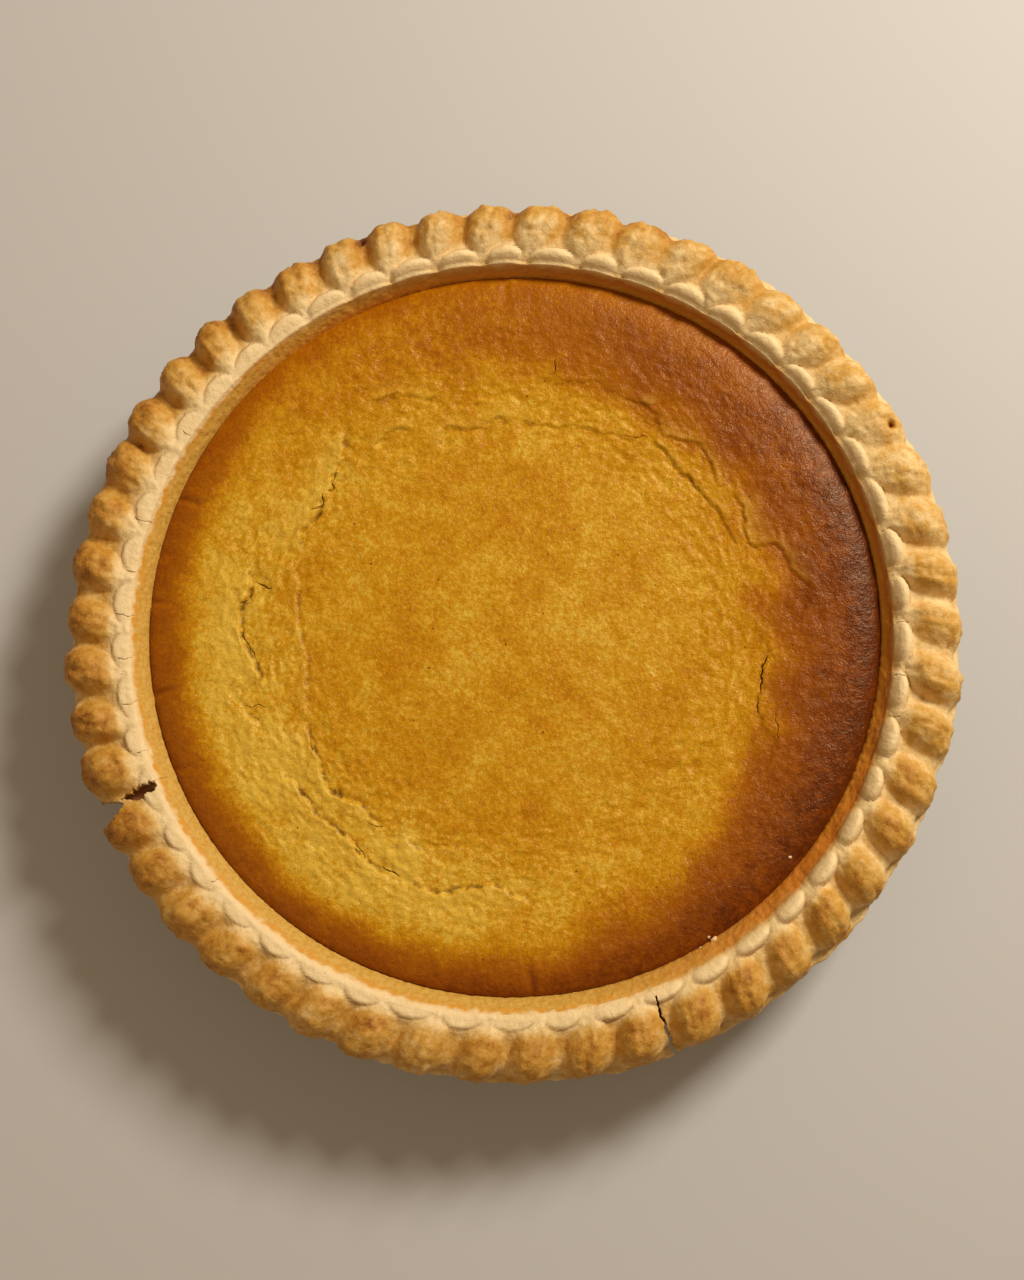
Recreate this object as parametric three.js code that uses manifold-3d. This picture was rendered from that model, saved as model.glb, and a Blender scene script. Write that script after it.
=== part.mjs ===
// A whole pumpkin pie: a fluted pastry shell with its baked custard filling, standing in the plain
// aluminium tin that it was baked in. Millimetres, +Z up. The origin is the centre of the tin's base,
// on the surface that the pie stands on.
import * as THREE from "three";
import { mergeVertices } from "three/addons/utils/BufferGeometryUtils.js";
import Module from "manifold-3d";

const wasm = await Module();
wasm.setup();

// --- Driving dimensions -------------------------------------------------------------------------

const FLUTES = 50; // lobes pinched into the pastry rim
const FIRST_LOBE = THREE.MathUtils.degToRad(-0.55); // direction of lobe 0, counted from +X
const LOBE_RADIUS = 129.6; // to the outside of an average lobe
const LOBE_TOP = 40; // height of an average lobe's crest
const LOBE_SLANT = 0.22; // sideways per mm outwards: the pinched ridges aren't quite radial
const SLANT_CENTRE = 120; // where a slanted ridge crosses its own direction
const RIM_INNER_RADIUS = 109.1; // mean radius of the rim's inner edge
const RIM_INNER_SHIFT = 0.8; // the inner edge lies off centre by this much, towards -Y

const TIN_HEIGHT = 30; // the tin's flange lies at this height
const TIN_TOP_RADIUS = 111.4; // inside the tin, at its top
const TIN_BASE_RADIUS = 91; // inside the tin, at its base
const FLANGE_RADIUS = 121; // outside of the flange, under the pastry rim
const FLANGE_BEAD = 2.2; // the flange's rolled edge, across and down
const TIN_WALL = 0.8; // stands for the pressed foil and its pleats

const PASTRY = 4; // floor of the shell
const CLEARANCE = 0.35; // between tin, pastry and filling where they lie on each other
const WALL_CLEARANCE = 0.5; // the same, measured level across the sloping walls

const CUSTARD_LEVEL = 30.2; // where the filling meets the pastry wall
const CONTACT_RADIUS = 106.1; // mean radius of that line
const CONTACT_SHIFT = 1; // the filling has shrunk from the wall on one side by this much
const CONTACT_SHIFT_TOWARDS = THREE.MathUtils.degToRad(35);

const STEPS_PER_FLUTE = 5;
const FILLING_SEGMENTS = 80;
const TIN_SEGMENTS = 60;

const PASTRY_COLOUR = 0xd9ac6b;
const CUSTARD_COLOUR = 0xc8861f;
const TIN_COLOUR = 0xc9cbcd;

// --- Helpers ------------------------------------------------------------------------------------

const mix = (a, b, share) => a + (b - a) * share;

/** An even-looking but repeatable number from -1 to 1 for item k; each use has its own salt. */
function uneven(k, salt) {
  const wave = Math.sin(k * 12.9898 + salt * 78.233) * 43758.5453;
  return 2 * (wave - Math.floor(wave)) - 1;
}

/** A slow closed wobble from about -1 to 1 round the pie. */
function wobble(angle, salt) {
  return (
    0.5 * Math.sin(2 * angle + salt) +
    0.3 * Math.sin(3 * angle + 2.3 * salt) +
    0.2 * Math.sin(5 * angle + 4.1 * salt)
  );
}

/**
 * A turned solid whose outline may change on its way round. outline(angle) gives the same number of
 * [radius, height] points at every angle, from the axis back to the axis. A point may have a third
 * number, the angle by which it is turned on from the others.
 */
function turned(outline, segments) {
  const first = outline(FIRST_LOBE).map(([radius, height]) => new THREE.Vector2(radius, height));
  const geometry = new THREE.LatheGeometry(first, segments);
  const position = geometry.getAttribute("position");
  for (let i = 0; i <= segments; i++) {
    const angle = FIRST_LOBE + ((i % segments) / segments) * 2 * Math.PI;
    outline(angle).forEach(([radius, height, turn = 0], j) => {
      const x = radius * Math.cos(angle + turn);
      const y = radius * Math.sin(angle + turn);
      position.setXYZ(i * first.length + j, x, y, height);
    });
  }
  return geometry;
}

/** A closed geometry as a manifold-3d solid. */
function solidOf(geometry) {
  const bare = geometry.clone();
  bare.deleteAttribute("normal");
  bare.deleteAttribute("uv");
  const merged = mergeVertices(bare, 1e-3);
  return new wasm.Manifold(
    new wasm.Mesh({
      numProp: 3,
      vertProperties: merged.getAttribute("position").array,
      triVerts: new Uint32Array(merged.index ? merged.index.array : []),
    }),
  );
}

/** A manifold-3d solid as a geometry. */
function geometryOf(solid) {
  const mesh = solid.getMesh();
  return new THREE.BufferGeometry()
    .setAttribute("position", new THREE.BufferAttribute(mesh.vertProperties, 3))
    .setIndex(new THREE.BufferAttribute(mesh.triVerts, 1));
}

function piece(name, geometry, color, roughness, metalness) {
  geometry.computeVertexNormals();
  const material = new THREE.MeshStandardMaterial({ color, roughness, metalness });
  const mesh = new THREE.Mesh(geometry, material);
  mesh.name = name;
  return mesh;
}

// --- Tin ----------------------------------------------------------------------------------------

/** A tapered pan with a flat base, and a flat flange with a rolled edge for the rim to lie on. */
function tinOutline() {
  const round = FLANGE_BEAD / 4;
  const beadInner = FLANGE_RADIUS - FLANGE_BEAD;
  const beadBottom = TIN_HEIGHT - FLANGE_BEAD;
  const underFlange = TIN_HEIGHT - TIN_WALL;
  return [
    [0, 0],
    [TIN_BASE_RADIUS - 1, 0],
    [TIN_BASE_RADIUS + TIN_WALL, 1],
    [TIN_TOP_RADIUS + TIN_WALL, underFlange],
    [beadInner, underFlange],
    [beadInner, beadBottom],
    [FLANGE_RADIUS - round, beadBottom],
    [FLANGE_RADIUS, beadBottom + round],
    [FLANGE_RADIUS, TIN_HEIGHT - round],
    [FLANGE_RADIUS - round, TIN_HEIGHT],
    [TIN_TOP_RADIUS, TIN_HEIGHT],
    [TIN_BASE_RADIUS, TIN_WALL + 0.6],
    [TIN_BASE_RADIUS - 1, TIN_WALL],
    [0, TIN_WALL],
  ];
}

// --- Pastry -------------------------------------------------------------------------------------

/** Radius at which the filling meets the pastry wall. */
const contactRadius = (angle) =>
  CONTACT_RADIUS + CONTACT_SHIFT * Math.cos(angle - CONTACT_SHIFT_TOWARDS);

/** Radius of the rim's inner edge. */
const rimInnerRadius = (angle) => RIM_INNER_RADIUS - RIM_INNER_SHIFT * Math.sin(angle);

/** Inside of the pastry shell at the foot of its wall. */
const SHELL_FOOT_RADIUS = TIN_BASE_RADIUS - PASTRY;
const SHELL_FLOOR = TIN_WALL + CLEARANCE + PASTRY;

/**
 * Rim section on a lobe and in the dip between two lobes, as [radius in from the lobe's outside,
 * height below the lobe's crest]. Pinching pushes the dough in at each dip, where it stands up as a
 * small bean along the inner edge, with a crease behind it.
 */
const RIM_ON_LOBE = {
  lip: [0.4, 10.2],
  face: [0.3, 6.6],
  shoulder: [3.4, 2.0],
  top: [9.4, 0],
  crease: [13.6, 1.5],
  beanCrest: [17.0, 3.0],
  innerEdge: [LOBE_RADIUS - RIM_INNER_RADIUS, 3.9],
};
const RIM_IN_DIP = {
  lip: [2.2, 10.4],
  face: [2.6, 8.2],
  shoulder: [4.8, 6.4],
  top: [9.0, 5.2],
  crease: [12.8, 5.0],
  beanCrest: [16.4, 1.2],
  innerEdge: [LOBE_RADIUS - RIM_INNER_RADIUS - 0.2, 3.2],
};

/** How far a point of the rim is towards a lobe: 1 on its crest, 0 in the dip beside it. */
function lobeShare(pitchesFromLobe) {
  return 1 - THREE.MathUtils.smoothstep(Math.abs(pitchesFromLobe), 0.15, 0.45);
}

/** The rim's section at an angle, from its lower lip over the top to its inner edge. */
function rimSection(angle) {
  const pitches = ((angle - FIRST_LOBE) / (2 * Math.PI)) * FLUTES;
  const lobe = Math.round(pitches);
  const share = lobeShare(pitches - lobe);
  const lobeNumber = (lobe + FLUTES) % FLUTES;
  const dipNumber = Math.floor(pitches + FLUTES) % FLUTES;
  const lobeRise = 0.7 * uneven(lobeNumber, 1) * share;
  const dipRise = 0.4 * uneven(dipNumber, 2) * (1 - share);
  const rise = lobeRise + dipRise + 0.5 * wobble(angle, 1);
  const reach = 0.8 * uneven(lobeNumber, 3) * share + 0.5 * wobble(angle, 2);
  const inset = rimInnerRadius(angle) - RIM_INNER_RADIUS;
  return Object.keys(RIM_ON_LOBE).map((name) => {
    const [inOnLobe, downOnLobe] = RIM_ON_LOBE[name];
    const [inInDip, downInDip] = RIM_IN_DIP[name];
    const radius = LOBE_RADIUS - mix(inInDip, inOnLobe, share);
    const height = LOBE_TOP - mix(downInDip, downOnLobe, share);
    const outward = (radius - RIM_INNER_RADIUS) / (LOBE_RADIUS - RIM_INNER_RADIUS);
    const upward = Math.max(0, (height - TIN_HEIGHT) / (LOBE_TOP - TIN_HEIGHT));
    const turn = (LOBE_SLANT * (SLANT_CENTRE - radius)) / radius;
    return [radius + mix(inset, reach, outward), height + rise * upward, turn];
  });
}

/** The whole shell: the underside, which lies along the tin, then the rim, the wall and the floor. */
function pastryOutline(angle) {
  const base = TIN_WALL + CLEARANCE;
  const underRim = TIN_HEIGHT + CLEARANCE;
  return [
    [0, base],
    [TIN_BASE_RADIUS - WALL_CLEARANCE - 0.6, base],
    [TIN_TOP_RADIUS - WALL_CLEARANCE, underRim],
    [FLANGE_RADIUS + 1, underRim],
    [LOBE_RADIUS - 3.4, TIN_HEIGHT - 1.2],
    ...rimSection(angle),
    [contactRadius(angle), CUSTARD_LEVEL],
    [SHELL_FOOT_RADIUS, SHELL_FLOOR],
    [0, SHELL_FLOOR],
  ];
}

/**
 * A crack through the rim, as an upright prism to cut away. It starts in a point at the inner edge
 * and opens outwards in zigzag steps to the given mouth.
 */
function crackCutter({ direction, from, mouth, steps, swing }) {
  const length = LOBE_RADIUS + 6 - from;
  const along = (i) => from + (length * i) / steps;
  const middle = (i) => swing * uneven(i, 7) * Math.sin((Math.PI * i) / steps);
  const half = (i) => (mouth / 2) * (i / steps) ** 0.5;
  const outline = new THREE.Shape();
  outline.moveTo(along(0), 0);
  for (let i = 1; i <= steps; i++) outline.lineTo(along(i), middle(i) - half(i));
  for (let i = steps; i >= 1; i--) outline.lineTo(along(i), middle(i) + half(i));
  const depth = LOBE_TOP + 6 - (TIN_HEIGHT - 4);
  const prism = new THREE.ExtrudeGeometry(outline, { depth, bevelEnabled: false });
  prism.translate(0, 0, TIN_HEIGHT - 4).rotateZ(direction);
  return solidOf(prism);
}

/** The dip that follows a lobe, counted from lobe 0. */
const dipAfter = (lobe) => FIRST_LOBE + ((lobe + 0.5) / FLUTES) * 2 * Math.PI;

const WIDE_CRACK = { direction: dipAfter(28), from: 111.6, mouth: 3.6, steps: 6, swing: 0.8 };
const NARROW_CRACK = { direction: dipAfter(40), from: 114.5, mouth: 1.1, steps: 5, swing: 0.6 };

function pastryGeometry() {
  const whole = solidOf(turned(pastryOutline, FLUTES * STEPS_PER_FLUTE));
  const cracked = whole.subtract(crackCutter(WIDE_CRACK)).subtract(crackCutter(NARROW_CRACK));
  return geometryOf(cracked);
}

// --- Filling ------------------------------------------------------------------------------------

/** Radius of the torn edge round the sunken middle of the filling. */
const innerTear = (angle) => 66 + 6 * Math.cos(angle + 0.7) + 2.2 * wobble(angle, 3);

/** Radius of the second, fainter tear outside it. */
const outerTear = (angle) => 79 + 2.5 * Math.cos(angle + 2.6) + 1.6 * wobble(angle, 5);

/**
 * The custard: a sunken middle, two torn steps up to a puffed ring, and a rounded edge that drops to
 * the pastry wall. The outline runs from the underside up to the middle of the top.
 */
function custardOutline(angle) {
  const inner = innerTear(angle);
  const outer = outerTear(angle);
  const edge = contactRadius(angle) - WALL_CLEARANCE;
  const level = (above) => CUSTARD_LEVEL + above;
  const sideFoot = SHELL_FOOT_RADIUS - WALL_CLEARANCE;
  return [
    [0, SHELL_FLOOR + CLEARANCE],
    [sideFoot, SHELL_FLOOR + CLEARANCE],
    [edge, level(0)],
    [edge - 1.2, level(1.3)],
    [edge - 4.5, level(2.6)],
    [edge - 12, level(3.2)],
    [outer + 1.2, level(2.3)],
    [outer, level(1.5)],
    [outer - 1.2, level(2.0)],
    [inner + 1.6, level(1.3)],
    [inner, level(0.5)],
    [inner - 2, level(1.1)],
    [inner * 0.5, level(0.7)],
    [0, level(0.8)],
  ];
}

// --- The pie ------------------------------------------------------------------------------------

const pie = new THREE.Group();
pie.add(piece("tin", turned(tinOutline, TIN_SEGMENTS), TIN_COLOUR, 0.35, 1));
pie.add(piece("pastry", pastryGeometry(), PASTRY_COLOUR, 0.75, 0));
pie.add(piece("filling", turned(custardOutline, FILLING_SEGMENTS), CUSTARD_COLOUR, 0.4, 0));

export default pie;
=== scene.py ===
# %% [markdown]
# # A whole pumpkin pie
#
# This lesson builds a baked pumpkin pie in Blender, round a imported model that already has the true
# sizes. The pie is three things that rest in each other: a foil tin, a pastry shell with a pinched
# rim, and the custard filling. Each gets a fine mesh and a finish of its own here.
#
# Blender works in metres. Food is easier to think about in millimetres, so every shape below is
# worked out in millimetres and brought down to metres once, when its mesh is filled in.

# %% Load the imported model
import math

import bmesh
import bpy
import numpy as np
from mathutils import Matrix, Vector, noise


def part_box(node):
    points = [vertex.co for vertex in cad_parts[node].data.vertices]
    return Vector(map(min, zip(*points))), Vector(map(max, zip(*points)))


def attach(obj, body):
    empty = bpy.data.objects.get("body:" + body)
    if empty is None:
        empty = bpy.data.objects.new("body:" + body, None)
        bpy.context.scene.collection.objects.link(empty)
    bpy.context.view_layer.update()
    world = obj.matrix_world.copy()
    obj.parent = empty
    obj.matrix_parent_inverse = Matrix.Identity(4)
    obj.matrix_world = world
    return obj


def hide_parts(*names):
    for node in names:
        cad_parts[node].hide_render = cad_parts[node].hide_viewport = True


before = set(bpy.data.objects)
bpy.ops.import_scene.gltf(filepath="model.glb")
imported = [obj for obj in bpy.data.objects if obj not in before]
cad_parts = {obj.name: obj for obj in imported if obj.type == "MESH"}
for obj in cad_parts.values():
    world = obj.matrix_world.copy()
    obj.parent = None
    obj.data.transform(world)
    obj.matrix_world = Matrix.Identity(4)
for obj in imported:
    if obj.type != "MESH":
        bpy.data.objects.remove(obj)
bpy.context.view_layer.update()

MM = 0.001
tin_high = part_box("tin")[1] / MM
pastry_low, pastry_high = (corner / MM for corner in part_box("pastry"))
filling_low, filling_high = (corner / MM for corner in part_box("filling"))
print("pastry box, mm:", [round(v, 1) for v in (*pastry_low, *pastry_high)])

# %% [markdown]
# ## Sizes
#
# A few sizes drive the whole pie. The rim radius and the tin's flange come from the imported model's
# boxes, so the fine meshes fit it. The rest are the thicknesses that a baker would give: a shell
# about 4 mm thick, a custard that meets it 6 mm below the rim, and fifty lobes pinched by hand.

# %% Sizes
FLUTES = 50
FIRST_LOBE = math.radians(-0.55)
RIM_RADIUS = (pastry_high.x - pastry_low.x + pastry_high.y - pastry_low.y) / 4
FLANGE_RADIUS = tin_high.x
FLANGE_TOP = tin_high.z
CUSTARD_LEVEL = 30.2
WALL_TOP = 36.1
CONTACT_RADIUS = (filling_high.x - filling_low.x) / 2 + 0.5
RIM_INNER = 109.1
print("rim radius", round(RIM_RADIUS, 1), "flange", round(FLANGE_RADIUS, 1))


def contact_radius(angle):
    """Where the custard meets the wall: it has shrunk away a little more on one side."""
    return CONTACT_RADIUS + 1.0 * np.cos(angle - math.radians(35))


def rim_inner_radius(angle):
    return RIM_INNER - 0.8 * np.sin(angle)


# %% [markdown]
# ## Camera
#
# The pie is seen from nearly straight above, leaning a little back towards its near edge. A camera's
# matrix is four columns: what is right, what is up, what is behind, and where it stands. Building
# them from the line of sight keeps +Y at the top of the picture, which a tracking constraint would
# turn.

# %% Camera
LOOK_AT = Vector((0, 0, 31)) * MM
LEAN = Vector((0.033, -0.191, 1)).normalized()
DISTANCE = 510.5 * MM

camera_data = bpy.data.cameras.new("camera")
camera = bpy.data.objects.new("camera", camera_data)
bpy.context.scene.collection.objects.link(camera)
back = LEAN
right = Vector((0, 1, 0)).cross(back).normalized()
up = back.cross(right)
camera.matrix_world = Matrix.Translation(LOOK_AT + DISTANCE * back) @ (
    Matrix((right, up, back)).transposed().to_4x4()
)
camera_data.sensor_width = 36
camera_data.lens = 49.65
camera_data.shift_x = 0.0016
camera_data.shift_y = -0.0117
camera_data.clip_start = 0.01
bpy.context.scene.camera = camera
print("camera stands at", [round(v, 3) for v in camera.matrix_world.translation])

# %% [markdown]
# ## Light and floor
#
# One large soft lamp stands to the upper right, so that each lobe has a bright side and a shaded
# side. A weaker one opposite and a pale surround keep the shadows open. The floor is a plain pale
# sheet and isn't part of the pie.

# %% Light and floor
scene = bpy.context.scene
scene.view_settings.view_transform = "Standard"
scene.view_settings.look = "None"

world = bpy.data.worlds.new("studio")
scene.world = world
world.use_nodes = True
world.node_tree.nodes["Background"].inputs["Color"].default_value = (1.0, 0.74, 0.46, 1)
world.node_tree.nodes["Background"].inputs["Strength"].default_value = 0.25


def soft_lamp(name, place, size, power, colour):
    """A square area lamp that faces the pie."""
    data = bpy.data.lights.new(name, "AREA")
    data.size = size
    data.energy = power
    data.color = colour
    lamp = bpy.data.objects.new(name, data)
    lamp.location = place
    lamp.rotation_euler = (Vector(place) - LOOK_AT).to_track_quat("Z", "Y").to_euler()
    scene.collection.objects.link(lamp)


soft_lamp("key_lamp", (0.64, 0.64, 0.83), 0.30, 15.0, (1.0, 0.96, 0.88))
soft_lamp("fill_lamp", (-0.9, -0.5, 0.9), 0.9, 1.5, (1.0, 0.84, 0.64))


def node_material(name):
    """An empty node material, with its shader and the shader's node tree."""
    material = bpy.data.materials.new(name)
    material.use_nodes = True
    tree = material.node_tree
    return material, tree, tree.nodes["Principled BSDF"]


bm = bmesh.new()
bmesh.ops.create_grid(bm, x_segments=1, y_segments=1, size=1.6)
floor_mesh = bpy.data.meshes.new("floor")
bm.to_mesh(floor_mesh)
bm.free()
floor = bpy.data.objects.new("floor", floor_mesh)
scene.collection.objects.link(floor)
floor_material, _, floor_shader = node_material("pale_floor")
floor_shader.inputs["Base Color"].default_value = (0.56, 0.53, 0.49, 1)
floor_shader.inputs["Roughness"].default_value = 0.7
floor_mesh.materials.append(floor_material)

# %% [markdown]
# ## Helpers for hand-made shapes
#
# Nothing on a pie is quite regular. These helpers give the three kinds of unevenness that the pieces
# need: a repeatable random number for each lobe, a smooth curve through a few given points,
# and noise read at every point of a mesh at once. `mathutils.noise` gives the same answer each run,
# so the pie is the same every time.


# %% Helpers for hand-made shapes
def uneven(k, salt):
    """A repeatable number from -1 to 1 for item k; each use has its own salt."""
    wave = np.sin(np.asarray(k) * 12.9898 + salt * 78.233) * 43758.5453
    return 2 * (wave - np.floor(wave)) - 1


def smooth(low, high, value):
    """0 below low, 1 above high, and an even slope between."""
    t = np.clip((value - low) / (high - low), 0, 1)
    return t * t * (3 - 2 * t)


def mix(a, b, share):
    return a + (b - a) * share


def softer_max(a, b, blend):
    """The larger of two heights, rounded over where they meet."""
    overlap = np.clip(blend - np.abs(a - b), 0, None) / blend
    return np.maximum(a, b) + overlap * overlap * blend / 4


def curve(value, knots, period=None):
    """A smooth curve through (place, height) knots; with a period it closes on itself."""
    xs, ys = (np.array(v, float) for v in zip(*knots))
    value = np.asarray(value, float)
    if period:
        xs = np.concatenate(([xs[-1] - period], xs, [xs[0] + period]))
        ys = np.concatenate(([ys[-1]], ys, [ys[0]]))
        value = (value - xs[1]) % period + xs[1]
    slope = np.gradient(ys, xs)
    i = np.clip(np.searchsorted(xs, value, side="right") - 1, 0, len(xs) - 2)
    width = xs[i + 1] - xs[i]
    t = np.clip((value - xs[i]) / width, 0, 1)
    rise = ys[i + 1] - ys[i]
    straight = ys[i] + rise * t
    bend = t * (1 - t) * ((1 - t) * (slope[i] * width - rise) - t * (slope[i + 1] * width - rise))
    return straight + bend


def noise_at(points, size, seed, octaves=1, kind="plain"):
    """Noise at each of n points, n x 3 in millimetres; size is the width of one lump."""
    shift = Vector((seed * 17.3, seed * -9.1, seed * 4.7))
    places = (Vector(p) + shift for p in points / size)
    if kind == "ridged":
        values = [noise.ridged_multi_fractal(p, 1.0, 2.1, octaves, 1.0, 2.0) for p in places]
        return np.array(values) - 1.0
    if octaves == 1:
        return np.array([noise.noise(p) for p in places])
    return np.array([noise.fractal(p, 1.0, 2.1, octaves) for p in places])


def polar(points):
    """Angle and radius of each point."""
    return np.arctan2(points[:, 1], points[:, 0]), np.hypot(points[:, 0], points[:, 1])


def from_polar(angle, radius, height):
    """Points, n x 3, from their angles, radii and heights."""
    return np.stack([radius * np.cos(angle), radius * np.sin(angle), height], 1)


def every_30(*heights):
    """Knots for a curve round the pie: one height for each 30 degrees, from 0 to 330."""
    return [(30 * i, height) for i, height in enumerate(heights)]


def round_pie(angle, knots):
    """A closed curve round the pie, read at angles in radians."""
    return curve(np.degrees(angle), knots, 360)


def away_from(points, x, y):
    """How far each point is from a place, seen from above."""
    return np.hypot(points[:, 0] - x, points[:, 1] - y)


def points_of(mesh):
    """The mesh's points in millimetres, n x 3."""
    flat = np.empty(3 * len(mesh.vertices))
    mesh.vertices.foreach_get("co", flat)
    return flat.reshape(-1, 3) / MM


def set_points(mesh, points):
    mesh.vertices.foreach_set("co", (points * MM).ravel())
    mesh.update()


def paint(mesh, name, values):
    """Stores one number for each point, for the material to read."""
    layer = mesh.attributes.get(name) or mesh.attributes.new(name, "FLOAT", "POINT")
    layer.data.foreach_set("value", np.clip(values, 0, 1).astype(np.float32))


def add_piece(name, mesh, material, node):
    """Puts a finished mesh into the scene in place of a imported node."""
    for polygon in mesh.polygons:
        polygon.use_smooth = True
    mesh.materials.clear()
    mesh.materials.append(material)
    piece = bpy.data.objects.new(name, mesh)
    scene.collection.objects.link(piece)
    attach(piece, "root")
    if node:
        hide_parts(node)
    print(name, "has", sum(len(p.vertices) - 2 for p in mesh.polygons), "triangles")


def spun_mesh(name, section, steps):
    """Turns an open section, from the axis back to the axis, into a closed mesh.

    Each point keeps its number in the section in an integer layer called row.
    """
    bm = bmesh.new()
    row = bm.verts.layers.int.new("row")
    chain = []
    for i, (radius, height) in enumerate(section):
        vertex = bm.verts.new((radius * MM, 0, height * MM))
        vertex[row] = i
        chain.append(vertex)
    edges = [bm.edges.new(pair) for pair in zip(chain, chain[1:])]
    bmesh.ops.spin(
        bm,
        geom=chain + edges,
        cent=(0, 0, 0),
        axis=(0, 0, 1),
        angle=2 * math.pi,
        steps=steps,
        use_merge=True,
    )
    bmesh.ops.remove_doubles(bm, verts=bm.verts, dist=1e-7)
    bmesh.ops.recalc_face_normals(bm, faces=bm.faces)
    mesh = bpy.data.meshes.new(name)
    bm.to_mesh(mesh)
    bm.free()
    return mesh


def rows_of(mesh):
    values = np.empty(len(mesh.vertices), np.int32)
    mesh.attributes["row"].data.foreach_get("value", values)
    return values


# %% [markdown]
# ## Blades that cut cracks
#
# A crack is a cut, so it is made as one: a thin ragged blade is taken away from the finished piece
# with a Boolean modifier. Moving points apart could make a groove, but the mesh would have to be far
# finer than anywhere else to give a crisp, torn edge. Each blade starts as one ragged outline that is
# extruded down, and its lower outline is drawn in so that the crack narrows with depth.


# %% Blades that cut cracks
def blade(path, width, top, bottom, seed, ragged=0.35, floor_share=0.35, step=0.4):
    """A closed ragged blade along a path of (x, y) points in millimetres.

    width is a number or a function of how far along the path a place is, from 0 to 1.
    """
    path = np.array(path, float)
    lengths = np.hypot(*np.diff(path, axis=0).T)
    reach = np.concatenate(([0], np.cumsum(lengths)))
    count = max(4, int(reach[-1] / step))
    along = np.linspace(0, 1, count + 1)
    middle = np.stack([np.interp(along * reach[-1], reach, path[:, i]) for i in (0, 1)], 1)
    heading = np.gradient(middle, axis=0)
    heading /= np.hypot(*heading.T)[:, None]
    side = np.stack([-heading[:, 1], heading[:, 0]], 1)
    wander = np.array([noise.noise((a * reach[-1] / 2.2, seed * 3.7, 0.0)) for a in along])
    middle += side * (wander * ragged * 1.6)[:, None]
    half = np.array([width(a) if callable(width) else width for a in along]) / 2
    outline = []
    for sign in (1, -1):
        rough = np.array([noise.noise((a * reach[-1] / 0.9, seed, 5.0 * sign)) for a in along])
        reach_out = np.clip(half * (1 + ragged * 2 * rough), 0.04, None)
        edge = middle + sign * side * reach_out[:, None]
        outline.append(list(zip(edge, middle)))
    ring = outline[0] + outline[1][::-1]
    bm = bmesh.new()
    upper = [bm.verts.new((*(edge * MM), top * MM)) for edge, _ in ring]
    face = bm.faces.new(upper)
    lower = bmesh.ops.extrude_face_region(bm, geom=[face])["geom"]
    lower = [v for v in lower if isinstance(v, bmesh.types.BMVert)]
    nearest = {tuple(v.co[:2]): m for v, (_, m) in zip(upper, ring)}
    for vertex in lower:
        centre = Vector(nearest[tuple(vertex.co[:2])]) * MM
        vertex.co.xy = centre.lerp(vertex.co.xy, floor_share)
        vertex.co.z = bottom * MM
    bmesh.ops.recalc_face_normals(bm, faces=bm.faces)
    bmesh.ops.triangulate(bm, faces=bm.faces)
    return bm


def cut_away(mesh, blades):
    """The mesh with every blade taken out of it."""
    cutter_mesh = bpy.data.meshes.new("blades")
    joined = bmesh.new()
    for bm in blades:
        bm.to_mesh(cutter_mesh)
        joined.from_mesh(cutter_mesh)
        bm.free()
    joined.to_mesh(cutter_mesh)
    joined.free()
    cutter = bpy.data.objects.new("blades", cutter_mesh)
    blank = bpy.data.objects.new("blank", mesh)
    for thing in (cutter, blank):
        scene.collection.objects.link(thing)
    modifier = blank.modifiers.new("cracks", "BOOLEAN")
    modifier.operation = "DIFFERENCE"
    modifier.solver = "MANIFOLD"
    modifier.object = cutter
    depsgraph = bpy.context.evaluated_depsgraph_get()
    cut = bpy.data.meshes.new_from_object(blank.evaluated_get(depsgraph))
    cut.name = mesh.name
    for thing in (cutter, blank):
        bpy.data.objects.remove(thing)
    print("cut", len(blades), "blades:", len(mesh.vertices), "->", len(cut.vertices), "points")
    return cut


# %% [markdown]
# ## Pastry: the section of the shell
#
# The shell is one closed skin, so it can be spun from a single open section that runs from the axis,
# under the floor, up the outside of the wall, round the lip, over the rim, down the inside wall and
# back to the axis along the floor. Most rows of points go to the rim, because that is what shows.
# The spin gives a plain ring; the pinching is done afterwards by moving its points.

# %% Pastry: the section of the shell
FLUTE_STEPS = 23
CREST_RADIUS = 120.5
FACE_DEPTH = 7.0
LIP_TOP = 30.9
BASE_HEIGHT = 1.15
SHELL_FLOOR = 5.1
SHELL_FOOT = 87.0
UNDER_RIM = FLANGE_TOP + 0.3
WALL_OUTSIDE = 110.85

under_rows = [(0, BASE_HEIGHT), (50, BASE_HEIGHT), (89.7, BASE_HEIGHT), (92.5, 4.3), (101, 16.5)]
under_rows += [(WALL_OUTSIDE, UNDER_RIM), (116, UNDER_RIM), (FLANGE_RADIUS + 0.8, UNDER_RIM)]
under_rows += [(124.2, 29.4), (126.6, 28.9)]
lip_rows = [(-0.9, 28.95), (-0.25, 29.3), (0.0, 29.8), (-0.1, 30.3), (-0.7, 30.7)]
arc_turns = np.linspace(90, 5, 18)
top_radii = np.arange(CREST_RADIUS, 109.7, -0.55)
edge_rows = [(0.42, 36.95), (0.14, 36.6), (0.0, WALL_TOP)]
wall_shares = np.linspace(0.93, 0.0, 11)
floor_rows = [(104.6, 28.4), (98, 20.3), (SHELL_FOOT + 1.2, 6.6), (SHELL_FOOT, SHELL_FLOOR)]
floor_rows += [(50, SHELL_FLOOR), (0, SHELL_FLOOR)]

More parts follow.
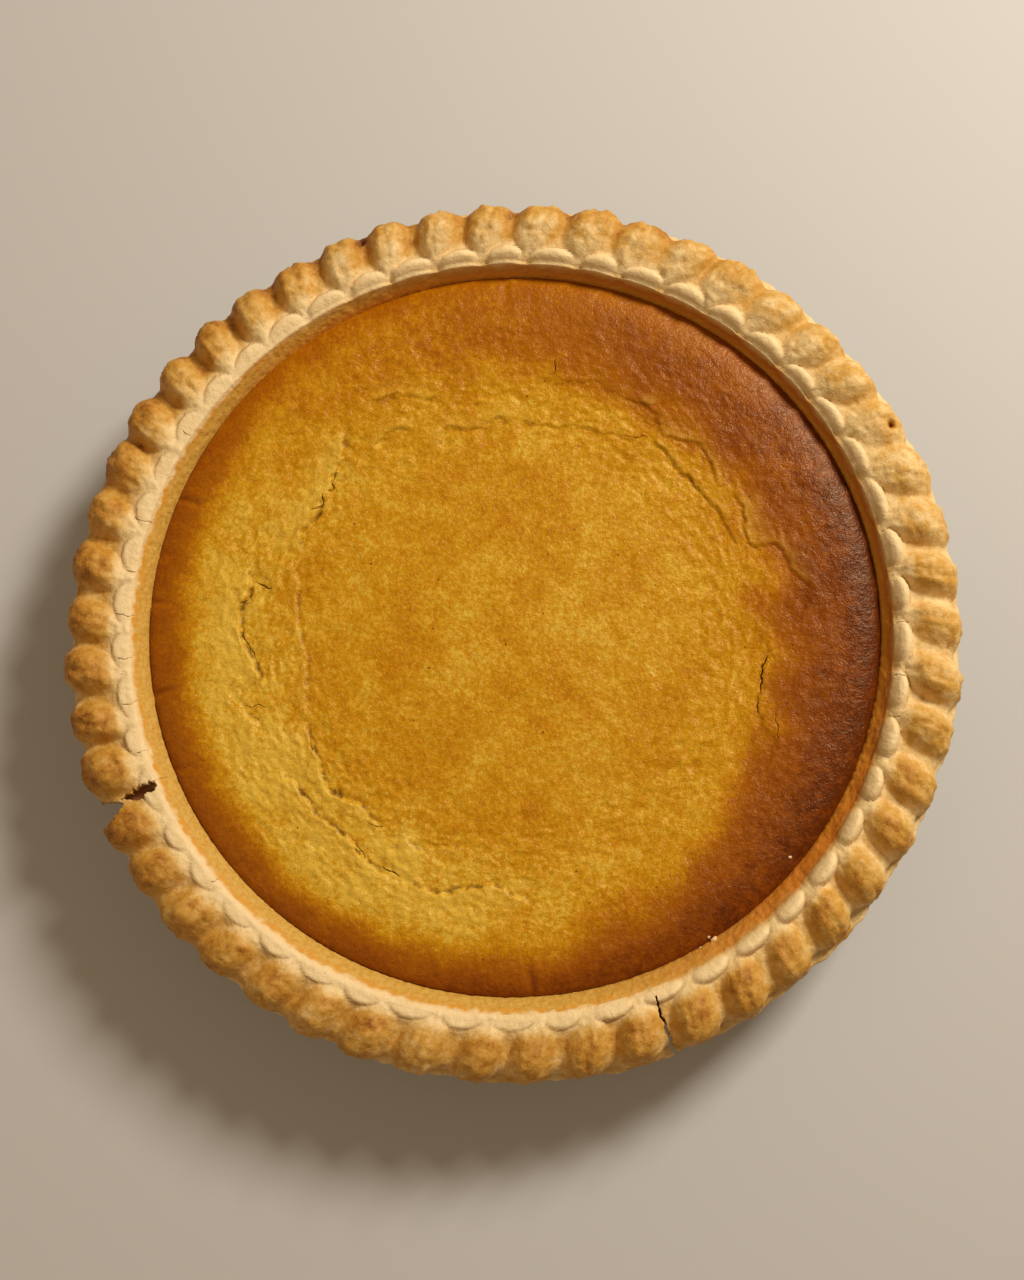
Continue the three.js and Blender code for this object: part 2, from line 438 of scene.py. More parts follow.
kinds = {}
section = []
for kind, rows in (
    ("under", under_rows),
    ("lip", [(RIM_RADIUS + inward, height) for inward, height in lip_rows]),
    ("arc", [(RIM_RADIUS - 1, 31 + turn / 90) for turn in arc_turns]),
    ("top", [(radius, 38) for radius in top_radii]),
    ("edge", [(RIM_INNER + outward, height) for outward, height in edge_rows]),
    ("wall", [(CONTACT_RADIUS + 3 * share, 30 + 6 * share) for share in wall_shares]),
    ("floor", floor_rows),
):
    kinds[kind] = range(len(section), len(section) + len(rows))
    section += rows
print("the section has", len(section), "rows:", {kind: len(rows) for kind, rows in kinds.items()})

# %% [markdown]
# ## Pastry: pinching the rim
#
# On the real pie a thumb presses the dough down every 16 mm. What stays up between two presses is a
# puffed lobe, as wide as it can be at its outer end and squeezed to a narrow throat at its inner
# end. The dough that the thumb pushes inwards piles up at the inner edge as a small bean, with a
# sharp crease behind it. So the rim's height is worked out from three parts: the pressed floor, the
# lobe that rises from it, and the bean.


# %% Pastry: pinching the rim
lobe_numbers = np.arange(-1, FLUTES + 2)
lobe_centres = FIRST_LOBE + (lobe_numbers + 0.055 * uneven(lobe_numbers % FLUTES, 11)) * (
    2 * math.pi / FLUTES
)
WIDE_CRACK_LOBE = 28
PUSHED_APART = math.radians(0.85)
lobe_centres[lobe_numbers == WIDE_CRACK_LOBE] -= PUSHED_APART
lobe_centres[lobe_numbers == WIDE_CRACK_LOBE + 1] += PUSHED_APART


SLANT = 0.23
SLANT_CENTRE = 120.0


def slant(radius):
    """Angle by which the ridges have drifted at a radius: they don't run quite straight outwards."""
    return SLANT * (radius - SLANT_CENTRE) / radius


def lobe_place(angle):
    """How many lobes round from lobe 0 an angle is, with the hand's unevenness."""
    turned = (angle - FIRST_LOBE) % (2 * math.pi) + FIRST_LOBE
    return np.interp(turned, lobe_centres, lobe_numbers)


def crowded(angle):
    """1 on the side where the lobes are low and nearly touch, 0 elsewhere."""
    return smooth(0.55, 0.95, np.cos(angle - math.radians(52)))


HALF_WIDTH = [(109, 0.9), (111.5, 1.5), (113.2, 2.7), (115, 4.9), (117, 6.1), (120, 6.7), (129, 6.8)]


def lobe_shape(angle, radius):
    """Lobe number, dip number, share of the lobe's rise, and place across lobe and dip in mm."""
    place = lobe_place(angle + slant(radius))
    lobe = np.round(place).astype(int)
    dip = np.floor(place).astype(int)
    pitch = 2 * math.pi * radius / FLUTES
    across_lobe = (place - lobe) * pitch
    across_dip = (place - dip - 0.5) * pitch
    lobe %= FLUTES
    dip %= FLUTES
    half_width = curve(radius, HALF_WIDTH)
    half_width *= 1 + 0.07 * uneven(lobe, 3) + 0.11 * crowded(angle)
    away = np.abs(across_lobe + 0.25 * uneven(lobe, 4)) / half_width
    share = np.sin(math.pi / 2 * np.clip((1 - away) / 0.78, 0, 1))
    return lobe, dip, share, across_lobe, across_dip


def plumpness(angle):
    """1 where the beans are full and round, 0 where they are pressed flat."""
    return smooth(-0.55, 0.35, np.cos(angle - math.radians(30)))


ROUNDING = [(109.1, 2.9), (110.2, 1.8), (112, 0.5), (114, 0.0)]
PRESSED_FLAT = [(109.1, 36.5), (110.2, 37.0), (112, 37.0), (114.2, 36.8), (116, 36.1)]
PRESSED_FLAT += [(118, 35.6), (121, 35.2)]
PRESSED_DEEP = [(109.1, 36.5), (110.2, 37.1), (112, 36.9), (114, 36.1), (117, 35.9), (121, 35.6)]
BEAN_BASE = [(109.1, 36.15), (110.2, 36.65), (112, 37.05), (114, 37.35)]
CREST = [(109.1, 36.5), (110.2, 37.2), (112, 37.4), (114, 38.0), (117, 39.3), (120.5, 40.1)]


def from_inner_edge(angle, radius):
    """The radius with the unevenness of the rim's inner edge taken out."""
    return radius - (rim_inner_radius(angle) - RIM_INNER) * smooth(121, 110, radius)


def bean_reach(angle, radius):
    """0 in the middle of a bean, 1 at its outline, and more beyond it."""
    _, dip, _, _, across_dip = lobe_shape(angle, radius)
    inner = from_inner_edge(angle, radius)
    plump = plumpness(angle)
    middle = 110.9 + 0.6 * plump
    half_long = (5.2 + 0.6 * plump) * (1 + 0.10 * uneven(dip, 7))
    outward = 3.2 * (1 + 0.12 * uneven(dip, 8))
    half_wide = np.where(inner > middle, outward, 2.6 + 0.9 * plump)
    return np.sqrt((across_dip / half_long) ** 2 + ((inner - middle) / half_wide) ** 2)


def rim_top(angle, radius):
    """Height of the rim's upper side."""
    lobe, dip, share, across_lobe, across_dip = lobe_shape(angle, radius)
    inner = from_inner_edge(angle, radius)
    plump = plumpness(angle)
    rounding = plump * curve(inner, ROUNDING)
    pressed = mix(curve(inner, PRESSED_FLAT), curve(inner, PRESSED_DEEP), plump) - rounding
    pressed += (0.35 * uneven(dip, 5) + 0.9 * crowded(angle)) * smooth(112, 116, inner)
    crest = curve(inner, CREST)
    crest += (0.65 * uneven(lobe, 1) - 0.2) * smooth(112, 118, inner) - rounding
    crest += 0.10 * across_lobe * uneven(lobe, 6)
    height = mix(pressed, crest, share)
    boxy = 5.4 - 3.0 * plump
    fullness = np.clip(1 - bean_reach(angle, radius) ** boxy, 0, 1) ** (0.38 + 0.20 * plump)
    bean_top = curve(inner, BEAN_BASE) - rounding + 0.35 + 1.65 * plump + 0.25 * uneven(dip, 9)
    bean = pressed + (bean_top - pressed) * fullness
    height = softer_max(height, bean, 0.25)
    throat = np.exp(-((across_lobe / 0.5) ** 2)) * smooth(114.5, 112.5, inner)
    return height - (0.2 + 0.2 * plump) * throat * (0.6 + 0.4 * uneven(lobe, 10))


RIM_EDGE = 110.0
RIM_EDGE_TOP = 37.1
WALL_SAG = 0.9
FACE_LINE = 127.0


def wall_top(angle):
    """Height at which the rim turns down into the inside wall."""
    plump = plumpness(angle)
    rim = rim_top(angle, np.full(angle.shape, RIM_EDGE))
    return WALL_TOP - WALL_SAG * plump + (0.30 + 0.35 * plump) * (rim - RIM_EDGE_TOP)


def face_radius(angle):
    """Outside of the lobes and dips, where they come down to the lip."""
    lobe, dip, share, _, _ = lobe_shape(angle, FACE_LINE)
    slow = 0.35 * np.sin(2 * angle + 1) + 0.25 * np.sin(5 * angle + 2)
    on_lobe = RIM_RADIUS - 0.5 + 0.5 * uneven(lobe, 12)
    in_dip = RIM_RADIUS - 2.4 + 0.5 * uneven(dip, 13)
    return mix(in_dip, on_lobe, share) + slow


def lip_radius(angle):
    """The thin raw edge of the dough, which shows past the lobes on two sides."""
    shows = smooth(-0.3, 0.6, np.cos(angle + math.radians(12)))
    ragged = 0.30 * np.sin(23 * angle) + 0.25 * np.sin(61 * angle + 1) + 0.2 * np.sin(97 * angle)
    thin = RIM_RADIUS - 1.7 + 1.5 * shows + ragged * (0.4 + 0.6 * shows)
    return np.maximum(face_radius(angle) + 0.15, thin)


print("lobes", FLUTES, "of them apart at the wide crack:", WIDE_CRACK_LOBE, "and", WIDE_CRACK_LOBE + 1)

# %% [markdown]
# ## Pastry: moving the points
#
# Each row of the section belongs to one part of the shell, and each part has its own rule. Top rows
# take the rim's height, arc rows come down over the outer end of a lobe or dip, and wall rows run
# from the custard's edge up to where the rim turns over.

# %% Pastry: moving the points
pastry_mesh = spun_mesh("pastry_shell", section, FLUTES * FLUTE_STEPS)
flat = points_of(pastry_mesh)
rows = rows_of(pastry_mesh)
angle, _ = polar(flat)
radius = np.array([point[0] for point in section])[rows]
height = np.array([point[1] for point in section])[rows]
lean_out = np.zeros(len(rows))

is_kind = {kind: (rows >= span.start) & (rows < span.stop) for kind, span in kinds.items()}

top = is_kind["top"]
radius[top] += (rim_inner_radius(angle) - RIM_INNER)[top] * smooth(121, 110, radius[top])
height[top] = rim_top(angle[top], radius[top])

arc = is_kind["arc"]
turn = np.radians(arc_turns[rows[arc] - kinds["arc"].start])
drifted = angle[arc] + slant(CREST_RADIUS + FACE_DEPTH * np.sin(turn))
outer = face_radius(drifted - slant(FACE_LINE))
radius[arc] = CREST_RADIUS + (outer - CREST_RADIUS) * np.sin(turn)
crest_height = rim_top(drifted - slant(CREST_RADIUS), np.full(arc.sum(), CREST_RADIUS))
height[arc] = LIP_TOP + (crest_height - LIP_TOP) * np.cos(turn) ** 0.8
lean_out[arc] = np.sin(turn)

lip = is_kind["lip"]
radius[lip] += lip_radius(angle[lip]) - RIM_RADIUS

edge = is_kind["edge"]
outward = radius[edge] - RIM_INNER
radius[edge] += rim_inner_radius(angle[edge]) - RIM_INNER
rim_here = rim_top(angle[edge], np.full(edge.sum(), RIM_EDGE))
height[edge] += wall_top(angle[edge]) - WALL_TOP + plumpness(angle[edge]) * outward
height[edge] = np.minimum(height[edge], rim_here - 0.35 * (0.9 - outward))

wall = is_kind["wall"]
share_up = wall_shares[rows[wall] - kinds["wall"].start]
contact = contact_radius(angle[wall])
radius[wall] = mix(contact, rim_inner_radius(angle[wall]), share_up**1.25)
height[wall] = mix(CUSTARD_LEVEL, wall_top(angle[wall]), share_up)
lean_out[wall] = -0.7

low_wall = rows == kinds["floor"].start
radius[low_wall] += contact_radius(angle[low_wall]) - CONTACT_RADIUS
print("rim height from", round(height[top].min(), 1), "to", round(height[top].max(), 1), "mm")

# %% [markdown]
# ## Pastry: flaky skin
#
# Baked shortcrust is lumpy at several scales: broad swellings a few millimetres wide, small blisters
# where steam lifted the surface, and thin flakes with raised edges. Three noises are added together
# and pushed outwards along the direction in which each part of the rim faces.

# %% Pastry: flaky skin
lumpy = top | arc | is_kind["edge"]
place = from_polar(angle, radius, height)
push = np.zeros(len(rows))
_, _, share, _, _ = lobe_shape(angle[lumpy], np.minimum(radius[lumpy], 128))
puffed = 0.35 + 0.65 * share
push[lumpy] += 0.50 * noise_at(place[lumpy], 4.2, 1, 3) * puffed
push[lumpy] += 0.32 * np.clip(noise_at(place[lumpy], 2.2, 2, 3, "ridged"), -0.8, 0.9) * puffed
push[lumpy] += 0.46 * np.clip(noise_at(place[lumpy], 1.7, 3), 0.1, 1) * puffed
along_rim = RIM_RADIUS * angle[lumpy]
streaks = np.stack([along_rim + SLANT * radius[lumpy], 0.25 * radius[lumpy], 0.3 * height[lumpy]], 1)
push[lumpy] += 0.45 * noise_at(streaks, 1.8, 6, 2) * puffed * smooth(112, 116, radius[lumpy])
wrinkled = smooth(0.09, 0.03, np.abs(angle[lumpy] + 0.10)) * share
across = np.stack([0.3 * along_rim, radius[lumpy], height[lumpy]], 1)
push[lumpy] += 0.7 * wrinkled * noise_at(across, 2.6, 7, 2)
push[wall] += 0.26 * noise_at(place[wall], 1.5, 4, 3)
lip_only = is_kind["lip"]
push[lip_only] += 0.35 * noise_at(place[lip_only], 1.5, 5, 2)
lean_out[lip_only] = 1.0
lean_up = np.sqrt(np.clip(1 - lean_out**2, 0, 1))
radius += push * lean_out
height += push * lean_up
set_points(pastry_mesh, from_polar(angle, radius, height))

# %% [markdown]
# ## Pastry: cracks and holes
#
# As it cooled, the rim split in two of its dips. The wide split is open from the inner edge, with a
# thin bridge of dough across its middle; the narrow one is a ragged slit. A few hairlines cross the
# beans, and steam left a small hole in two of the lobes and a shallow dent in two more.


# %% Pastry: cracks and holes
def ray(angle_degrees, *radii, bend=0.0):
    """Points along a ray from the centre, bending sideways by up to bend millimetres."""
    spread = (np.array(radii) - radii[0]) / (radii[-1] - radii[0])
    angles = math.radians(angle_degrees) + bend * np.sin(math.pi * spread) / np.array(radii)
    return [(r * math.cos(a), r * math.sin(a)) for r, a in zip(radii, angles)]


ABOVE_RIM = 46
RIM_TO_TABLE = (ABOVE_RIM, 26)
split_blades = [
    blade(
        ray(204.6, 110.2, 113, 116, 119, 121.2, bend=0.8),
        lambda a: 0.5 + 3.3 * math.sin(math.pi * min(1, 0.12 + 0.95 * a)) ** 0.8,
        ABOVE_RIM,
        32.5,
        seed=1,
        ragged=0.55,
        floor_share=0.85,
    ),
    blade(
        ray(205.3, 120.9, 123.5, 127, 134, bend=0.3),
        lambda a: 0.35 + 8.0 * min(1.0, a * 1.9) ** 0.7,
        *RIM_TO_TABLE,
        seed=2,
        ragged=0.14,
        floor_share=0.95,
    ),
    blade(
        ray(290.95, 112.3, 115, 118, 122, 126, 133, bend=-0.6),
        lambda a: 0.55 + 0.75 * a,
        *RIM_TO_TABLE,
        seed=3,
        ragged=0.45,
        floor_share=0.9,
    ),
    blade(ray(204.2, 107.0, 108.5, 110.4), 0.32, ABOVE_RIM, 31.5, seed=4, ragged=0.4),
]
HAIRLINES = [
    (164.0, 108.6, 113.4),
    (178.6, 108.6, 113.6),
    (185.3, 108.8, 112.8),
    (192.0, 108.8, 113.0),
    (172.0, 109.3, 112.0),
    (199.5, 109.2, 112.2),
    (13.6, 110.0, 112.6),
    (-0.6, 109.8, 113.0),
    (-8.4, 109.8, 112.8),
    (-14.6, 110.0, 113.2),
    (221.5, 109.6, 111.3),
    (149.0, 109.4, 112.0),
]
HAIR_WIDTH = 0.36
HAIR_TOP_AND_BOTTOM = (42, 35.3)
hair_blades = []
for at, start, end in HAIRLINES:
    path = ray(at, start, (start + end) / 2, end, bend=0.2)
    seed = 20 + at
    hair_blades.append(blade(path, HAIR_WIDTH, *HAIR_TOP_AND_BOTTOM, seed, ragged=0.5, step=0.3))
pastry_mesh = cut_away(pastry_mesh, split_blades + hair_blades)


def dent(mesh, places):
    """Pushes small pits into a mesh; each place is x, y, radius and depth in millimetres."""
    points = points_of(mesh)
    for x, y, size, depth in places:
        away = away_from(points, x, y) / size
        points[:, 2] -= depth * np.exp(-(away**2) * 2.2) * (points[:, 2] > LIP_TOP)
    set_points(mesh, points)


STEAM_HOLES = [(*ray(27.3, 124.6, 125)[0], 1.7, 3.2), (*ray(111.0, 124.8, 125)[0], 1.8, 2.6)]
STEAM_HOLES += [(*ray(18.2, 124.5, 125)[0], 0.8, 1.0), (*ray(-3.6, 124.5, 125)[0], 0.9, 1.0)]
dent(pastry_mesh, STEAM_HOLES)

# %% [markdown]
# ## Pastry: where it browned
#
# The finish needs to know several things about each point: how much the oven browned it, how much
# flour still lies on it, and how far up the wall the custard left its film. The foot of the wall on
# the side towards the lamp, which the rim shades, gets painted light, and the cracks and the creases
# behind the beans get painted shade; the two deeper steam holes are darkened too. These are worked
# out from the place of each point and stored on the mesh, where the material reads them.

# %% Pastry: where it browned
LOBE_BROWN = every_30(0.50, 0.22, 0.16, 0.18, 0.26, 0.46, 0.70, 0.62, 0.60, 0.64, 0.66, 0.62)
OUTER_BROWN = every_30(-0.12, 0.06, 0.26, 0.32, 0.30, 0.18, 0.08, 0.04, -0.10, -0.16, -0.05, -0.12)
DIP_BROWN = every_30(0.22, 0.24, 0.38, 0.50, 0.52, 0.52, 0.45, 0.38, 0.50, 0.44, 0.36, 0.24)

points = points_of(pastry_mesh)
angle, radius = polar(points)
height = points[:, 2]
lobe, dip, share, across_lobe, across_dip = lobe_shape(angle, np.clip(radius, 109, 128.5))
outside = smooth(113.5, 118, radius)
patchy = noise_at(points, 6.0, 31, 3)
flecked = noise_at(points, 1.8, 32, 2)
on_lobe = round_pie(angle, LOBE_BROWN) + 0.08 * uneven(lobe, 33)
in_dip = round_pie(angle, DIP_BROWN)
browned = outside * (mix(in_dip, on_lobe, share) + 0.22 * patchy + 0.12 * flecked)
outer_end = smooth(118.5, 125.5, radius) * smooth(30.8, 33, height)
browned += outside * outer_end * round_pie(angle, OUTER_BROWN)
browned -= 0.25 * smooth(31.6, 30.6, height) * outside
pit = np.zeros(len(points))
for x, y, size, _ in STEAM_HOLES[:2]:
    pit = np.maximum(pit, np.exp(-((away_from(points, x, y) / size) ** 2) * 3))
paint(pastry_mesh, "browned", np.clip(browned, 0, 1) + 0.9 * pit)

floury_side = 0.15 + 0.85 * (1 - plumpness(angle + 0.25))
reach = bean_reach(angle, radius)
from_edge = from_inner_edge(angle, radius)
on_bean = smooth(1.0, 0.88, reach)
flour = floury_side * np.maximum(on_bean, smooth(113.6, 112.4, from_edge))
flour = np.maximum(flour, 0.8 * on_bean) * smooth(35.0, 36.4, height) * (from_edge < 115)
paint(pastry_mesh, "floury", flour * (0.85 + 0.5 * noise_at(points, 3.0, 35, 2)))

up_wall = (height - CUSTARD_LEVEL) / (WALL_TOP - WALL_SAG * plumpness(angle) - CUSTARD_LEVEL)
film_end = 0.86 + 0.16 * plumpness(angle) + 0.15 * noise_at(points, 4.0, 36, 3)
inside_wall = smooth(0.6 + 1.4 * plumpness(angle), 0.2, radius - rim_inner_radius(angle))
fade = 0.05 + 0.35 * plumpness(angle)
film = smooth(0, 1, (film_end + fade - up_wall) / (2 * fade)) * inside_wall
tide = np.exp(-(((up_wall - film_end + 0.05) / 0.12) ** 2)) * inside_wall
tide *= 0.72 + 1.5 * noise_at(points, 2.2, 37, 2)
paint(pastry_mesh, "film", film)
paint(pastry_mesh, "tide_line", tide * (1 - 0.6 * plumpness(angle)))
paint(pastry_mesh, "syrupy", film * smooth(-0.25, 0.75, np.cos(angle - math.radians(15))))
# Painted shade: the crease just outside each bean is darkened.
crease_shade_behind_bean = np.exp(-(((reach - 1.04) / 0.07) ** 2)) * smooth(111.4, 112.4, from_edge)
# Painted light: the foot of the wall on the side towards the lamp, where the rim shades it, is painted
# lighter.
foot_of_wall = smooth(0.85, 0.10, up_wall) * inside_wall
paint(pastry_mesh, "painted_light_wall_foot", foot_of_wall * smooth(-0.2, 0.6, np.cos(angle - math.radians(50))))
# Painted shade: the walls and floors of the cracks are darkened, and so are the creases behind the beans.
below_rim = rim_top(angle, np.clip(radius, RIM_EDGE, CREST_RADIUS)) - height
crack_and_crease_shade = smooth(0.7, 2.2, below_rim) * smooth(30.6, 31.2, height)
crack_and_crease_shade *= (radius > 110.8) * (radius < 121)
paint(pastry_mesh, "crack_and_crease_shade", np.maximum(crack_and_crease_shade, 0.55 * crease_shade_behind_bean * (from_edge < 115)))
print("browned share of the rim:", round(float(browned[outside > 0.5].mean()), 2))

# %% [markdown]
# ## Filling: tears in the custard
#
# Custard puffs up in the oven and sinks as it cools. The ring near the wall sets first and stays
# high, the middle drops, and the skin tears between them along ragged, roughly round lines. Each
# tear is given by a few places as an angle in degrees and a radius in millimetres, in the order in
# which they are met going round, so that the higher, outer side is always on the right.


# %% Filling: tears in the custard
def tear(*places, height=0.5):
    """A tear as (path in millimetres, height of its step)."""
    angles, radii = zip(*places)
    dense = np.linspace(0, len(places) - 1, 6 * (len(places) - 1) + 1)
    steps = range(len(places))
    around = np.radians(curve(dense, list(zip(steps, angles))))
    out = curve(dense, list(zip(steps, radii)))
    return np.stack([out * np.cos(around), out * np.sin(around)], 1), height


TEARS = [
    tear(
        *((16, 69.5), (22, 70), (27, 70.5), (33, 68.5), (39, 68), (45, 67.5), (50, 68.8), (54, 69.5)),
        height=0.55,
    ),
    tear((56, 67), (60, 65.5), (66, 64), (74, 62.5), (82, 60.5), (88, 61.5), height=0.35),
    tear((88, 61.5), (94, 61.8), (99, 60.2), (108, 62), (113, 58), height=0.5),
    tear((115, 66), (122, 68), (127, 66.5), height=0.35),
    tear((104, 72), (110, 73.5), (116, 77), (122, 80), height=0.3),
    tear((128, 79.5), (133, 72.5), (138, 69), (144, 67), (149, 66), (155, 66.5), (161, 65), height=0.6),
    tear((161, 65), (168, 63.5), (176, 62), (186, 60), (196, 61), (205, 65.5), height=0.3),
    tear((166.5, 78), (172, 76.5), (178, 78), (184, 77), (190, 74.5), (195, 74.8), height=0.7),
    tear((196, 81), (199, 79.5), (203, 76.5), height=0.3),
    tear((204, 66), (211, 67), (216, 67.5), (221, 69.5), (226, 69.8), (232, 68), (238, 69.5), height=0.6),
    tear((238, 69.5), (244, 67.5), (249, 70), (254, 66), (262, 63), height=0.25),
    tear((212, 77.5), (218, 77), (226, 77.5), (232, 76), (238, 78.5), (245, 79), height=0.6),
    tear((245, 79), (251, 79.6), (258, 78.5), (265, 74.5), (270, 76), (276, 81.5), height=0.45),
    tear((-37.5, 77), (-31, 83), (-24, 82.5), (-20, 75), (-8, 74.5), (-2, 72), height=0.3),
    tear((6, 90.5), (9, 85), (13, 82), (16, 80), (19, 74), (27, 76.5), (32, 77), height=0.5),
    tear((33, 73), (38, 75), (44, 76), (50, 73), (57, 77), (62, 79), height=0.4),
    tear((54, 82), (62, 76), (70, 77), (78, 74), (86, 77), height=0.25),
]
print(len(TEARS), "tears,", round(sum(np.hypot(*np.diff(p, axis=0).T).sum() for p, _ in TEARS)), "mm in all")


TEAR_RISE = (0.85, 1.7)


def faces_light(angle):
    """1 where the tears' steps look towards the lamp, 0 where they look away."""
    return smooth(-0.6, 0.5, np.cos(angle - math.radians(205)))


def tear_relief(points):
    """Rise of the custard by its tears, and how near each point is to the foot of one."""
    relief = np.zeros(len(points))
    groove = np.zeros(len(points))
    for path, height in TEARS:
        starts, ends = path[:-1], path[1:]
        middle = path.mean(axis=0)
        reach = np.hypot(*(path - middle).T).max() + 12
        near = np.flatnonzero(np.hypot(*(points[:, :2] - middle).T) < reach)
        spot = points[near, :2]
        best = np.full(len(near), 1e9)
        signed = np.zeros(len(near))
        along = np.zeros(len(near))
        for i, (a, b) in enumerate(zip(starts, ends)):
            line = b - a
            size = math.hypot(*line)
            t = np.clip(((spot - a) @ line) / size**2, 0, 1)
            off = spot - (a + t[:, None] * line)
            away = np.hypot(*off.T)
            side = np.sign(line[1] * (spot[:, 0] - a[0]) - line[0] * (spot[:, 1] - a[1]))
            closer = away < best
            best = np.where(closer, away, best)
            signed = np.where(closer, side * away, signed)
            along = np.where(closer, (i + t) / len(starts), along)
        fade = smooth(0, 0.14, along) * smooth(1, 0.86, along)
        outer = np.exp(-np.clip(signed, 0, None) / 6.0) * smooth(-0.25, 0.60, signed)
        inner = np.exp(-np.clip(-signed, 0, None) / 6.0) * smooth(0.25, -0.35, signed)
        step = height * mix(*TEAR_RISE, faces_light(np.arctan2(spot[:, 1], spot[:, 0])))
        relief[near] += step * fade * (0.8 * outer - 0.55 * inner)
        foot = np.exp(-(((signed + 0.40) / 0.40) ** 2)) * fade
        groove[near] = np.maximum(groove[near], foot * min(1, height / 0.55))
    return relief, groove


# %% [markdown]
# ## Filling: the surface
#
# The top starts as a square grid that is drawn into a disc, which keeps its faces nearly square all
# over, without the crowded middle that a spun disc has. Its rings are then crowded a little towards
# the tears, which need the finest mesh. Its border is extruded down along the pastry wall and closed
# below. The height of the top is a broad sunken middle, the ring, a rounded edge, the tears, a few
# dents in the edge, and fine wrinkles.


# %% Filling: the surface
GRID = 296
CROWDING = 0.4
CROWDED_AT = 0.63
EDGE_GAP = 0.06
EDGE_DROP = 0.30
DRIFT = 1.5
SUNKEN = [(0, 31.0), (35, 30.9), (58, 31.0), (66, 31.25), (78, 32.1), (90, 32.9)]
SUNKEN += [(97, 32.95), (104, 32.6), (110, 32.2)]


def drift_at(spots):
    """How a tear wanders off its plain path, n x 2, before DRIFT sets how far in millimetres."""
    broad = np.stack([noise_at(spots, 7.0, 41, 3), noise_at(spots, 7.0, 42, 3)], 1)
    return broad + 0.45 * np.stack([noise_at(spots, 1.8, 43, 2), noise_at(spots, 1.8, 44, 2)], 1)


def wander_at(spots):
    """How far the sunken middle's outline wanders in and out, in millimetres."""
    return 3.0 * noise_at(spots, 26, 45, 2)


def custard_height(angle, radius, wander):
    """Height of the custard without its tears and wrinkles."""
    edge = contact_radius(angle) - radius
    out = radius + wander
    sunken = curve(out, SUNKEN)
    roll = np.clip(1 - np.clip(edge - EDGE_GAP, 0, None) / 9.5, 0, 1)
    rounded = np.sqrt(np.clip(1 - roll**2.6, 0, 1))
    bottom = CUSTARD_LEVEL - EDGE_DROP
    return bottom + (sunken - bottom) * rounded


bm = bmesh.new()
bmesh.ops.create_grid(bm, x_segments=GRID, y_segments=GRID, size=1.0)
border = [e for e in bm.edges if e.is_boundary]
ring_down = bmesh.ops.extrude_edge_only(bm, edges=border)["geom"]
low_ring = [v for v in ring_down if isinstance(v, bmesh.types.BMVert)]
for vertex in low_ring:
    vertex.co.z = -1
low_edges = [e for e in ring_down if isinstance(e, bmesh.types.BMEdge)]
bmesh.ops.contextual_create(bm, geom=low_edges)
bmesh.ops.recalc_face_normals(bm, faces=bm.faces)
filling_mesh = bpy.data.meshes.new("custard")
bm.to_mesh(filling_mesh)
bm.free()

square = points_of(filling_mesh) * MM
below = square[:, 2] < -0.5
x, y = square[:, 0], square[:, 1]
disc = np.stack([x * np.sqrt(1 - y * y / 2), y * np.sqrt(1 - x * x / 2)], 1)
angle = np.arctan2(disc[:, 1], disc[:, 0])
share_out = np.hypot(disc[:, 0], disc[:, 1])
share_out -= CROWDING / (2 * math.pi) * (
    np.sin(2 * math.pi * (share_out - CROWDED_AT)) + math.sin(2 * math.pi * CROWDED_AT)
)
radius = share_out * (contact_radius(angle) - EDGE_GAP)
level_spots = from_polar(angle, radius, np.zeros(len(x)))

drift = drift_at(level_spots)
relief, groove = tear_relief(level_spots[:, :2] + DRIFT * drift)
height = custard_height(angle, radius, wander_at(level_spots))
inside = smooth(0.4, 4.0, contact_radius(angle) - radius)
height += relief * inside
height -= (0.18 + 0.22 * faces_light(angle)) * groove * inside

EDGE_DENTS = [(90.5, 1.2, 0.5, 12), (273.2, 1.0, 0.8, 12), (191.0, 1.0, 1.0, 12), (158.5, 1.0, 0.9, 11)]
EDGE_DENTS += [(62, 1.5, 0.3, 8), (320, 1.4, 0.35, 9), (240, 1.6, 0.5, 9), (125, 1.4, 0.35, 8)]
EDGE_DENTS += [(296, 1.5, 0.3, 8), (176, 1.0, 0.7, 8), (168, 1.6, 0.4, 9), (204, 1.2, 0.6, 9)]
EDGE_DENTS += [(222, 1.0, 0.5, 8)]
for at, wide, deep, long in EDGE_DENTS:
    off = (np.degrees(angle) - at + 180) % 360 - 180
    across = np.radians(off) * radius + 0.8 * drift[:, 0]
    edge = contact_radius(angle) - radius
    height -= deep * np.exp(-((across / wide) ** 2)) * smooth(long, long * 0.3, edge) * smooth(0, 1.5, edge)

ring = smooth(46, 60, radius) * smooth(100, 86, radius)
height += inside * 0.20 * noise_at(level_spots, 9.0, 46, 3)
calm = 1 - 0.50 * smooth(-0.2, 0.5, np.cos(angle - math.radians(15))) * smooth(64, 78, radius)
height += inside * calm * (0.20 + 0.12 * ring) * noise_at(level_spots, 2.8, 47, 3)
height += inside * 0.05 * noise_at(level_spots, 1.4, 48, 2)
crumpled = np.stack([angle * 70, radius * 1.9, np.zeros(len(x))], 1)
height += inside * calm * ring * 0.30 * np.clip(noise_at(crumpled, 5.0, 49, 3, "ridged"), -0.8, 1.0)
height[below] = SHELL_FLOOR + 0.3
foot = (SHELL_FOOT - 0.6) / CONTACT_RADIUS
radius = np.where(below, radius * foot, radius)
set_points(filling_mesh, from_polar(angle, radius, height))
print("custard from", round(height[~below].min(), 1), "to", round(height.max(), 1), "mm high")

# %% [markdown]
# ## Filling: open cracks
#
# In a few places the tears opened into dark slits. They are cut with the same blades as the pastry,
# only thinner.

